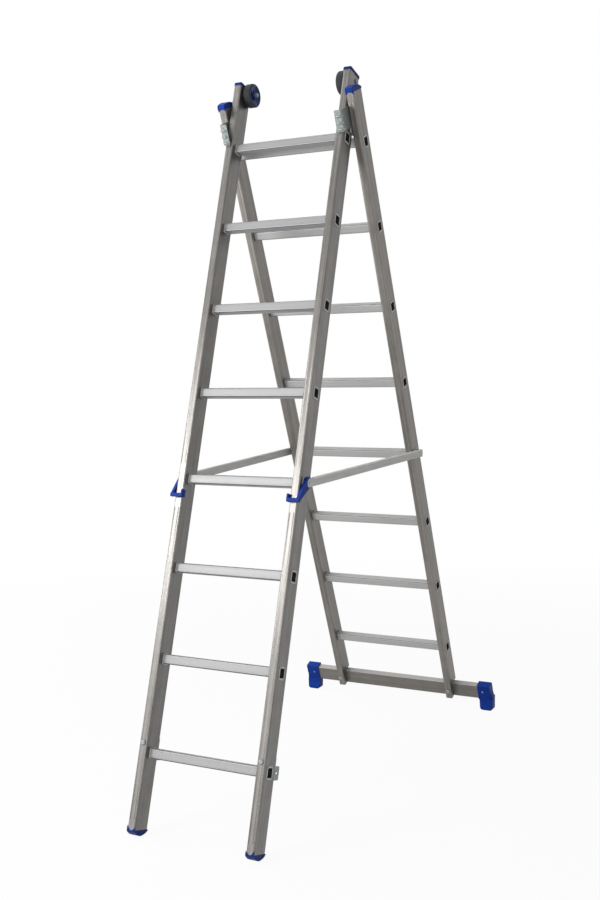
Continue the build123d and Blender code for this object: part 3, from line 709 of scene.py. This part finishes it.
class Finishes:
    """The ladder's finishes, each kept under the beginning of the names of the nodes that carry it."""

    front_stile_grey: Colour = (0.17, 0.162, 0.153)
    back_stile_grey: Colour = (0.202, 0.189, 0.174)
    # one rung metal in two greys: painted light and shade, set apart to match how each section is lit
    front_rung_grey: Colour = (0.36, 0.36, 0.366)
    back_rung_grey: Colour = (0.485, 0.485, 0.48)
    # lighter than the rungs: painted light on the rims and beads by the stiles, where shade falls on them
    collar_grey: Colour = (0.54, 0.54, 0.54)
    bar_grey: Colour = (0.209, 0.196, 0.179)
    # lighter grey that paints the highlight on the stabiliser bar's top
    bar_bright: Colour = (0.5, 0.485, 0.465)
    tie_grey: Colour = (0.58, 0.57, 0.555)
    # pale grey that paints the highlight along the tie bars' top edges
    tie_edge_grey: Colour = (0.86, 0.85, 0.83)
    blue: Colour = (0.0088, 0.046, 0.32)
    deep_blue: Colour = (0.0062, 0.034, 0.21)
    hub_blue: Colour = (0.0022, 0.022, 0.17)
    zinc_grey: Colour = (0.26, 0.289, 0.283)
    steel_grey: Colour = (0.27, 0.315, 0.325)
    rubber_black: Colour = (0.035, 0.036, 0.041)
    nylon_white: Colour = (0.7, 0.69, 0.65)

    def __init__(self, front: Section, back: Section) -> None:
        """Make every material.

        Args:
            front: the front section, whose streaks follow its lean.
            back: the back section.
        """
        blue = MouldedPlastic("royal_blue_moulding", self.blue).material()
        deep = MouldedPlastic("deep_blue_moulding", self.deep_blue).material()
        zinc = ZincPlating("zinc_plate", self.zinc_grey).material()
        steel = ZincPlating(
            "zinc_fasteners", self.steel_grey, spangle=0.0015, roughness=(0.42, 0.55), metallic=0.4
        ).material()
        self.kinds = {
            "front_stile": DrawnAluminium(
                "front_stile_aluminium", self.front_stile_grey, front.lean, Run.UP, metallic=0.78,
                roughness=(0.31, 0.35), contrast=0.26, streak=0.004, band=0.014, length=0.25,
                smudge=0.04, depth=0.000002,
            ).material(),
            "back_stile": DrawnAluminium(
                "back_stile_aluminium", self.back_stile_grey, back.lean, Run.UP, metallic=0.75,
                roughness=(0.38, 0.5), contrast=0.34, streak=0.0035, band=0.012,
            ).material(),
            "front_rung": self.rung_metal("front_rung_aluminium", self.front_rung_grey, front),
            "back_rung": self.rung_metal("back_rung_aluminium", self.back_rung_grey, back),
            "front_collar": self.rung_metal("front_collar_aluminium", self.collar_grey, front),
            "back_collar": self.rung_metal("back_collar_aluminium", self.collar_grey, back),
            "stabiliser_bar": BarAluminium(
                "bar_aluminium", self.bar_grey, back.lean, Run.ACROSS, origin=back.origin,
                worn=self.bar_bright,
            ).material(),
            "tie_bar": DrawnAluminium("tie_bar_aluminium", self.tie_grey, 0.0, Run.REAR).material(),
            "tie_bead": DrawnAluminium("tie_bead_aluminium", self.tie_edge_grey, 0.0, Run.REAR).material(),
            "wheel_hub": MouldedPlastic(
                "wheel_hub_moulding", self.hub_blue, roughness=(0.3, 0.42), gloss=0.25
            ).material(),
            "wheel_tyre": TyreRubber("wheel_tyre_rubber", self.rubber_black).material(),
            "pivot_bush": MouldedPlastic("bush_nylon", self.nylon_white).material(),
        }
        self.kinds.update(dict.fromkeys(("guide_bracket", "rung_hook"), zinc))
        self.kinds.update(dict.fromkeys(("back_cap", "bar_hook", "stabiliser_shoe"), blue))
        self.kinds.update(dict.fromkeys(("front_cap", "front_foot"), deep))
        fasteners = ("guide_rivets", "pivot_stud", "stabiliser_bolts", "stabiliser_nuts", "shoe_rivets")
        fasteners += ("tie_pivot", "tie_rivet", "hook_", "wheel_axle", "wheel_nuts", "wheel_spacers")
        self.kinds.update(dict.fromkeys(fasteners, steel))

    @staticmethod
    def rung_metal(name: str, colour: Colour, section: Section) -> bpy.types.Material:
        """Return the aluminium of a section's rungs in a colour."""
        return RungAluminium(name, colour, section.lean, Run.ACROSS, origin=section.origin).material()

    def of(self, node: str) -> bpy.types.Material:
        """Return the material for a node's name or the beginning of one."""
        return next(finish for start, finish in self.kinds.items() if node.startswith(start))

    def dress(self) -> dict[str, str]:
        """Give every CAD node its finish.

        Returns:
            The name of each node's finish.
        """
        for name, node in frame["nodes"].items():
            node.data.materials.clear()
            node.data.materials.append(self.of(name))
        return {name: self.of(name).name for name in frame["nodes"]}


@dataclass(frozen=True)
class SubAssembly(ABC):
    """A group of the ladder's pieces that is built and dressed together."""

    finishes: Finishes

    @abstractmethod
    def build(self) -> list[bpy.types.Object]:
        """Return the group's new pieces."""


@dataclass(frozen=True)
class RungSet(SubAssembly):
    """The rungs of a section: ribs on their treads, and the rims and beads that lock them in the stiles."""

    section: Section
    count: int = RUNG_COUNT
    pitch: float = RUNG_PITCH
    depth: float = RUNG_DEPTH
    height: float = RUNG_HEIGHT
    corner: float = 0.005
    wall: float = 0.0016
    ridges: tuple[float, ...] = (-0.0076, -0.0038, 0.0, 0.0038, 0.0076)
    ridge_width: float = 0.0016
    ridge_height: float = 0.0005
    rim_lip: float = 0.0042
    rim_thick: float = 0.0014
    bead_lip: float = 0.0022
    bead_thick: float = 0.0046

    def heights(self) -> list[float]:
        """Return the height of each rung's axis along the stiles."""
        return [number * self.pitch for number in range(self.count)]

    def build(self) -> list[bpy.types.Object]:
        """Return the treads, and the rims and beads of each side."""
        return [self.build_treads(), *(self.build_collars(hand) for hand in Hand)]

    def build_treads(self) -> bpy.types.Object:
        """Lay the rounded ribs along the tops of the rungs.

        Returns:
            The ribs of the whole section.
        """
        form = Form()
        reach = self.section.inner - self.bead_thick
        for height in self.heights():
            top = height + self.height / 2
            for ridge in self.ridges:
                low = Vector((-reach, ridge - self.ridge_width / 2, top - self.ridge_height))
                high = Vector((reach, ridge + self.ridge_width / 2, top + self.ridge_height))
                form.slab(low, high, self.ridge_width / 3)
        return self.place(form, f"{self.section.name}_rung_treads", f"{self.section.name}_rung")

    def build_collars(self, hand: Hand) -> bpy.types.Object:
        """Build the flanged rims outside one stile and the swaged beads inside it.

        Args:
            hand: the side of the stile.

        Returns:
            The rims and beads of that side.
        """
        form = Form()
        side = Matrix.Rotation(math.radians(90), 4, "Y") @ Matrix.Rotation(math.radians(90), 4, "Z")
        for height in self.heights():
            for out, lip, thick in (
                (self.section.outer + self.rim_thick, self.rim_lip, self.rim_thick),
                (self.section.inner, self.bead_lip, self.bead_thick),
            ):
                size = (self.depth + 2 * lip, self.height + 2 * lip)
                spot = Vector((hand.value * (out - thick / 2), 0.0, height))
                centred = Matrix.Translation(spot) @ side @ Matrix.Translation((0.0, 0.0, thick / 2))
                form.ring(size, self.corner + lip, lip + self.wall, thick, centred)
        name = f"{self.section.name}_rung_collars_{hand.word}"
        # the collars take a lighter grey than the rungs, which paints light on them
        return self.place(form, name, f"{self.section.name}_collar")

    def place(self, form: Form, name: str, kind: str) -> bpy.types.Object:
        """Return a shape as a named piece of the section's rungs, in a kind of finish."""
        finish = self.finishes.of(kind)
        return form.finish(name, self.section.matrix, finish, self.section.body, "rung_aluminium")


@dataclass(frozen=True)
class StileSet(SubAssembly):
    """The fine raised lines that the extrusion leaves along the stiles of a section."""

    section: Section
    ends: Span
    gaps: tuple[float, ...]  # bottoms and tops of the stretches kept clear for the hook and the pivot
    half_depth: float = 0.034
    width: float = 0.026
    face_lines: tuple[float, ...] = (-0.0075, 0.0055)
    side_lines: tuple[float, ...] = (-0.022, 0.022)
    line_width: float = 0.003
    line_height: float = 0.00012
    margin: float = 0.03

    def line(self, form: Form, across: float, rear: float, half: Vector) -> None:
        """Add one line up a stile, broken at the gaps.

        Args:
            form: the shape to add it to.
            across: its place across the ladder.
            rear: its place to the rear.
            half: half of its width and height.
        """
        stops = (self.ends[0] + self.margin, *self.gaps, self.ends[1] - self.margin)
        for bottom, top in zip(stops[::2], stops[1::2]):
            low, high = Vector((across, rear, bottom)) - half, Vector((across, rear, top)) + half
            form.slab(low, high, self.line_height * 0.8)

    def build(self) -> list[bpy.types.Object]:
        """Return the lines of both stiles."""
        return [self.build_lines(hand) for hand in Hand]

    def build_lines(self, hand: Hand) -> bpy.types.Object:
        """Lay the lines on the front, rear and side faces of one stile.

        Args:
            hand: the side of the stile.

        Returns:
            The lines of that stile.
        """
        form = Form()
        centre = hand.value * (self.section.inner + self.width / 2)
        for rear in (-self.half_depth, self.half_depth):
            for shift in self.face_lines:
                self.line(form, centre + shift, rear, Vector((self.line_width / 2, self.line_height, 0.0)))
        for across in (self.section.inner, self.section.outer):
            for rear in self.side_lines:
                half = Vector((self.line_height, self.line_width / 2, 0.0))
                self.line(form, hand.value * across, rear, half)
        name = f"{self.section.name}_stile_lines_{hand.word}"
        finish = self.finishes.of(f"{self.section.name}_stile")
        return form.finish(name, self.section.matrix, finish, self.section.body, "stile_aluminium")


@dataclass(frozen=True)
class ShoeTrim(SubAssembly):
    """The dome of the rivet in one stabiliser shoe."""

    section: Section
    hand: Hand
    rivet: Point = (0.3675, -0.0118, -0.195)
    dome: Profile = ((-0.001, 0.0), (-0.001, 0.0038), (0.0003, 0.0037), (0.0010, 0.0026), (0.0014, 0.0))

    def build(self) -> list[bpy.types.Object]:
        """Turn the dome on the rivet's head.

        Returns:
            The dome.
        """
        form = Form()
        across, rear, height = self.rivet
        turn = Matrix.Rotation(math.radians(-90), 4, "Z")
        form.turned(self.dome, Matrix.Translation((self.hand.value * across, rear, height)) @ turn)
        name = f"shoe_rivet_dome_{self.hand.word}"
        finish = self.finishes.of("shoe_rivets")
        return [form.finish(name, self.section.matrix, finish, self.section.body, "bolt_steel")]


@dataclass(frozen=True)
class TieTrim(SubAssembly):
    """The rolled bead along the top edge of one tie bar, in a paler finish that paints the edge's
    highlight.
    """

    hand: Hand
    thick: float = 0.0072
    bead: Span = (0.009, 0.0145)
    behind: float = 0.018  # reach past the pivot
    short: float = 0.026  # stop before the hook's rivet
    soft: float = 0.0022
    soft_steps: int = 3

    def build(self) -> list[bpy.types.Object]:
        """Lay the bead from the pivot to the hook.

        Returns:
            The bead.
        """
        word = self.hand.word
        joint = next(item for item in frame["joints"] if item["name"] == f"tie_{word}_swing")
        start = Vector(joint["pos_m"])
        out = Vector(joint["axis"]) * -self.hand.value
        run = middle(f"tie_rivet_{word}") - start
        run -= out * run.dot(out)
        along = run.normalized()
        up = out.cross(along)
        if up.z < 0:
            up = -up
        place = Matrix((along, up, out)).transposed().to_4x4()
        place.translation = start
        form = Form()
        low = Vector((-self.behind, self.bead[0], -self.thick / 2))
        high = Vector((run.length - self.short, self.bead[1], self.thick / 2))
        form.slab(low, high, self.soft, self.soft_steps)
        # the bead takes the paler finish, a painted highlight on the bar's top edge
        finish = self.finishes.of("tie_bead")
        return [form.finish(f"tie_bead_{word}", place, finish, f"tie_{word}", "stile_aluminium")]


@dataclass(frozen=True)
class WheelSet(SubAssembly):
    """One top wheel: a rounded tyre, a dished hub with low ribs and a domed cap on its nut."""

    hand: Hand
    radius: float = 0.039
    bore: float = 0.0335
    fit: float = 0.00005
    half_width: float = 0.01425
    steps: int = 72
    dish: Profile = (
        (0.0138, 0.0335), (0.0138, 0.0312), (0.0128, 0.0302), (0.0076, 0.0160), (0.0072, 0.0122),
        (0.0120, 0.0110), (0.0136, 0.0100), (0.0136, 0.0041),
    )
    tread: Profile = (  # places along the axle, each with its drop from the radius
        (0.0088, 0.0001), (0.0108, 0.0006), (0.0126, 0.0017), (0.0138, 0.0034), (0.01425, 0.0050),
    )
    rib_count: int = 6
    rib_width: float = 0.0024
    rib_span: Span = (0.0105, 0.0262)
    rib_top: float = 0.0096
    cap_set_back: float = 0.003  # from the end of the axle
    cap: Profile = (
        (0.0, 0.0), (0.0, 0.0052), (0.0018, 0.0050), (0.0036, 0.0040), (0.0048, 0.0024), (0.0053, 0.0),
    )

    @property
    def centre(self) -> Vector:
        """Middle of the wheel."""
        return middle(f"wheel_tyre_{self.hand.word}")

    @staticmethod
    def both_sides(half: Profile) -> Profile:
        """Return a half profile carried on by its mirror image, as a closed loop."""
        return list(half) + [(-along, radius) for along, radius in reversed(half)]

    def build(self) -> list[bpy.types.Object]:
        """Return the tyre, the hub and the nut's cap."""
        place = Matrix.Translation(self.centre)
        return [self.build_tyre(place), self.build_hub(place), self.build_cap()]

    def build_tyre(self, place: Matrix) -> bpy.types.Object:
        """Turn the tyre, with round shoulders and a bore that holds the hub.

        Args:
            place: the move from the wheel's middle to its place.

        Returns:
            The tyre, in place of the CAD one.
        """
        crown = [(along, self.radius - drop) for along, drop in self.tread]
        half = crown + [(self.half_width - self.fit, self.bore + self.fit)]
        form = Form()
        form.turned(self.both_sides(half), Matrix(), self.steps, closed=True)
        name = f"wheel_tyre_{self.hand.word}"
        finish = self.finishes.of("wheel_tyre")
        return form.finish(f"{name}_round", place, finish, f"wheel_{self.hand.word}", "tyre_rubber", name)

    def build_hub(self, place: Matrix) -> bpy.types.Object:
        """Turn the dished hub and stand its ribs in both dishes.

        Args:
            place: the move from the wheel's middle to its place.

        Returns:
            The hub, in place of the CAD one.
        """
        form = Form()
        form.turned(self.both_sides(self.dish), Matrix(), self.steps, closed=True)
        low = Vector((-self.rib_top, -self.rib_width / 2, self.rib_span[0]))
        high = Vector((self.rib_top, self.rib_width / 2, self.rib_span[1]))
        for step in range(self.rib_count):
            before = set(form.mesh.verts)
            form.slab(low, high, self.rib_width / 3)
            turn = Matrix.Rotation(math.tau * step / self.rib_count, 3, "X")
            bmesh.ops.rotate(form.mesh, cent=(0, 0, 0), matrix=turn, verts=form.since(before))
        name = f"wheel_hub_{self.hand.word}"
        finish = self.finishes.of("wheel_hub")
        return form.finish(f"{name}_dish", place, finish, f"wheel_{self.hand.word}", "hub_plastic", name)

    def build_cap(self) -> bpy.types.Object:
        """Turn the dome that closes the axle's nut.

        Returns:
            The dome.
        """
        low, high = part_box(f"wheel_axle_{self.hand.word}")
        end = (low.x if self.hand is Hand.RIGHT else high.x) + self.hand.value * self.cap_set_back
        place = Matrix.Translation((end, self.centre.y, self.centre.z))
        if self.hand is Hand.RIGHT:
            place = place @ Matrix.Rotation(math.pi, 4, "Z")
        form = Form()
        form.turned(self.cap, Matrix())
        name = f"wheel_nut_cap_{self.hand.word}"
        return form.finish(name, place, self.finishes.of("wheel_nuts"), "front_section", "bolt_steel")


@dataclass(frozen=True)
class GuideBracket(SubAssembly):
    """The rounded skins of the ribs pressed in one guide bracket, on its flange and its side plate."""

    section: Section
    hand: Hand
    front: float = -0.093497  # face of the flange, in the section's frame
    heights: tuple[float, ...] = (2.062, 2.0415, 2.021)
    bend: float = 0.004
    length: float = 0.015
    overrun: float = 0.006  # length of both rounded ends
    sink: float = 0.0024
    radius: float = 0.0052
    proud: float = 0.0012
    steps: int = 20
    swell: Profile = (
        (-0.5, 0.0), (-0.485, 0.4), (-0.44, 0.78), (-0.37, 1.0), (0.37, 1.0), (0.44, 0.78), (0.485, 0.4),
        (0.5, 0.0),
    )

    def nose(self, form: Form, spot: Vector, turn: Matrix, out: Vector) -> None:
        """Add one rounded rib, cut off behind the face of the plate.

        Args:
            form: the shape to add it to.
            spot: the middle of the rib on the plate's face.
            turn: the turn from X to the rib's length.
            out: the way that the plate faces.
        """
        reach = self.length + self.overrun
        profile = [(along * reach, share * self.radius) for along, share in self.swell]
        place = Matrix.Translation(spot - out * self.sink) @ turn
        verts = form.turned(profile, place, self.steps)
        bmesh.ops.remove_doubles(form.mesh, verts=verts, dist=form.merge)
        kept = [vert for vert in verts if vert.is_valid]
        geom = kept + list({edge for vert in kept for edge in vert.link_edges})
        geom += list({face for vert in kept for face in vert.link_faces})
        cut = bmesh.ops.bisect_plane(
            form.mesh, geom=geom, plane_co=spot - out * self.proud, plane_no=out, clear_inner=True
        )
        rim = [item for item in cut["geom_cut"] if isinstance(item, bmesh.types.BMEdge)]
        bmesh.ops.holes_fill(form.mesh, edges=rim)

    def build(self) -> list[bpy.types.Object]:
        """Round off the ribs of the flange and of the side plate.

        Returns:
            The ribs of one bracket.
        """
        form = Form()
        sign = self.hand.value
        inner = self.section.inner
        for height in self.heights:
            across = Vector((sign * (inner - self.bend - self.length / 2), self.front, height))
            self.nose(form, across, Matrix(), Vector((0, -1, 0)))
            rear = Vector((sign * inner, self.front + self.bend + self.length / 2, height))
            self.nose(form, rear, Matrix.Rotation(math.radians(90), 4, "Z"), Vector((sign, 0, 0)))
        name = f"guide_ribs_{self.hand.word}"
        finish = self.finishes.of("guide_bracket")
        return [form.finish(name, self.section.matrix, finish, self.section.body, "zinc_plate")]


@dataclass(frozen=True)
class SoftBox:
    """A rectangular studio lamp at a place, aimed at a point."""

    name: str
    place: Point
    aim: Point
    width: float
    height: float
    watts: float

    def build(self) -> None:
        """Add the lamp to the scene."""
        lamp = bpy.data.lights.new(self.name, "AREA")
        lamp.shape = "RECTANGLE"
        lamp.size, lamp.size_y, lamp.energy = self.width, self.height, self.watts
        thing = bpy.data.objects.new(self.name, lamp)
        thing.location = self.place
        thing.rotation_euler = (Vector(self.aim) - Vector(self.place)).to_track_quat("-Z", "Y").to_euler()
        bpy.context.scene.collection.objects.link(thing)


@dataclass(frozen=True)
class Studio:
    """Pale floor, white surround, soft lamps and the camera."""

    front: Section
    eye: Vector = Vector((1.75509706, -2.98150621, 0.28422565))
    right: Vector = Vector((0.88898692, 0.44176948, 0.12059012))
    down: Vector = Vector((0.02003945, 0.2255541, -0.97402452))
    lens: float = 45.583383
    sensor: float = 36.0
    far: float = 200.0
    floor_half: float = 30.0
    floor_drop: float = 0.0004
    floor_greys: Span = (0.3, 0.9)  # to bounced light and to the camera
    floor_white: float = 0.94
    floor_fade: Span = (1.5, 4.0)
    fill: float = 0.14
    lamps: tuple[SoftBox, ...] = (
        SoftBox("key_lamp", (-1.55, -2.82, 2.16), (0.0, -0.5, 0.95), 1.1, 0.65, 45.0),
        SoftBox("front_lamp", (-2.2, -3.9, 0.95), (0.0, -0.5, 0.6), 3.0, 2.4, 38.0),
        SoftBox("right_lamp", (2.4, -3.6, 1.6), (0.0, -0.2, 0.9), 2.6, 2.0, 44.0),
        SoftBox("upper_lamp", (-1.75, -2.15, 3.4), (-0.1, -0.3, 1.7), 2.4, 1.6, 8.0),
        SoftBox("side_lamp", (-3.0, -0.3, 1.4), (0.0, -0.1, 1.1), 3.0, 2.6, 50.0),
        SoftBox("top_lamp", (-1.5, -0.2, 4.4), (0.0, 0.0, 0.8), 2.4, 2.4, 35.0),
    )

    @staticmethod
    def seen(tree: bpy.types.NodeTree) -> bpy.types.NodeSocket:
        """Tell the rays of the camera and of mirrors and glass from the rest.

        Args:
            tree: the node tree that asks.

        Returns:
            1 for those rays and 0 for the rest.
        """
        path = tree.nodes.new("ShaderNodeLightPath")
        total = path.outputs["Is Camera Ray"]
        for name in ("Is Glossy Ray", "Is Transmission Ray"):
            step = tree.nodes.new("ShaderNodeMath")
            step.operation = "MAXIMUM"
            tree.links.new(total, step.inputs[0])
            tree.links.new(path.outputs[name], step.inputs[1])
            total = step.outputs[0]
        return total

    def build_world(self) -> None:
        """Light the room evenly and show it white."""
        world = bpy.data.worlds.new("white_room")
        world.use_nodes = True
        bpy.context.scene.world = world
        tree = world.node_tree
        tree.nodes.clear()
        mix = tree.nodes.new("ShaderNodeMixShader")
        tree.links.new(self.seen(tree), mix.inputs[0])
        for socket, strength in zip(mix.inputs[1:], (self.fill, 1.0)):
            light = tree.nodes.new("ShaderNodeBackground")
            light.inputs["Color"].default_value = (1.0, 1.0, 1.0, 1.0)
            light.inputs["Strength"].default_value = strength
            tree.links.new(light.outputs[0], socket)
        output = tree.nodes.new("ShaderNodeOutputWorld")
        tree.links.new(mix.outputs[0], output.inputs["Surface"])

    def floor_sheet(self) -> bpy.types.Object:
        """Lay the flat sheet of the floor.

        Returns:
            The sheet.
        """
        mesh = bmesh.new()
        bmesh.ops.create_grid(mesh, x_segments=1, y_segments=1, size=self.floor_half)
        bmesh.ops.translate(mesh, vec=(0.0, 0.0, -self.floor_drop), verts=mesh.verts)
        data = bpy.data.meshes.new("floor")
        mesh.to_mesh(data)
        mesh.free()
        thing = bpy.data.objects.new("floor", data)
        bpy.context.scene.collection.objects.link(thing)
        return thing

    def build_floor(self) -> None:
        """Lay a pale floor that keeps a faint shadow."""
        floor = self.floor_sheet()
        bench = Bench("pale_floor")
        seen = self.seen(bench.tree)
        matt = bench.add("ShaderNodeBsdfDiffuse")
        grey = bench.ramp(seen, (1.0, 1.0, 1.0), self.floor_greys, span=(0.0, 1.0))
        bench.fill(matt.inputs["Color"], grey)
        glow = bench.add("ShaderNodeEmission")
        bench.fill(glow.inputs["Strength"], 1.0)
        away = bench.add("ShaderNodeVectorMath", operation="LENGTH")
        bench.fill(away.inputs[0], bench.place)
        white = bench.scale(away.outputs["Value"], span=self.floor_fade, to=(self.floor_white, 1.0))
        mix = bench.add("ShaderNodeMixShader")
        sources = (bench.math("MULTIPLY", seen, white), matt.outputs[0], glow.outputs[0])
        for socket, source in zip(mix.inputs, sources):
            bench.fill(socket, source)
        bench.fill(bench.output.inputs["Surface"], mix.outputs[0])
        floor.data.materials.append(bench.material)

    def build_camera(self) -> None:
        """Set the camera where the photograph was taken, in the front section's frame."""
        data = bpy.data.cameras.new("camera")
        data.sensor_fit = "VERTICAL"
        data.sensor_height = self.sensor
        data.lens = self.lens
        data.clip_end = self.far
        thing = bpy.data.objects.new("camera", data)
        view = Matrix((self.right, -self.down, self.down.cross(self.right))).transposed().to_4x4()
        thing.matrix_world = self.front.matrix @ Matrix.Translation(self.eye) @ view
        bpy.context.scene.collection.objects.link(thing)
        bpy.context.scene.camera = thing

    def build(self) -> None:
        """Set up the whole studio."""
        bpy.context.scene.view_settings.view_transform = "Standard"
        self.build_world()
        self.build_floor()
        self.build_camera()
        for lamp in self.lamps:
            lamp.build()


def main() -> None:
    """Build the studio, dress the nodes, build each group and report its pieces."""
    logging.basicConfig(level=logging.INFO, format="%(message)s")
    front, back = Section.of("front"), Section.of("back")
    Studio(front).build()
    finishes = Finishes(front, back)
    for node, finish in finishes.dress().items():
        log.info("node %s in %s", node, finish)
    groups: list[SubAssembly] = [
        RungSet(finishes, front),
        RungSet(finishes, back),
        StileSet(finishes, front, ends=(-0.223, 2.182), gaps=(0.745, 0.885, 1.975, 2.02)),
        StileSet(finishes, back, ends=(-0.165, 2.122), gaps=(1.982, 2.026)),
    ]
    for hand in Hand:
        groups += [WheelSet(finishes, hand), GuideBracket(finishes, back, hand)]
        groups += [ShoeTrim(finishes, back, hand), TieTrim(finishes, hand)]
    for group in groups:
        for piece in group.build():
            log.info("%s: piece %s of %d faces", type(group).__name__, piece.name, len(piece.data.polygons))


if __name__ == "__main__":
    main()
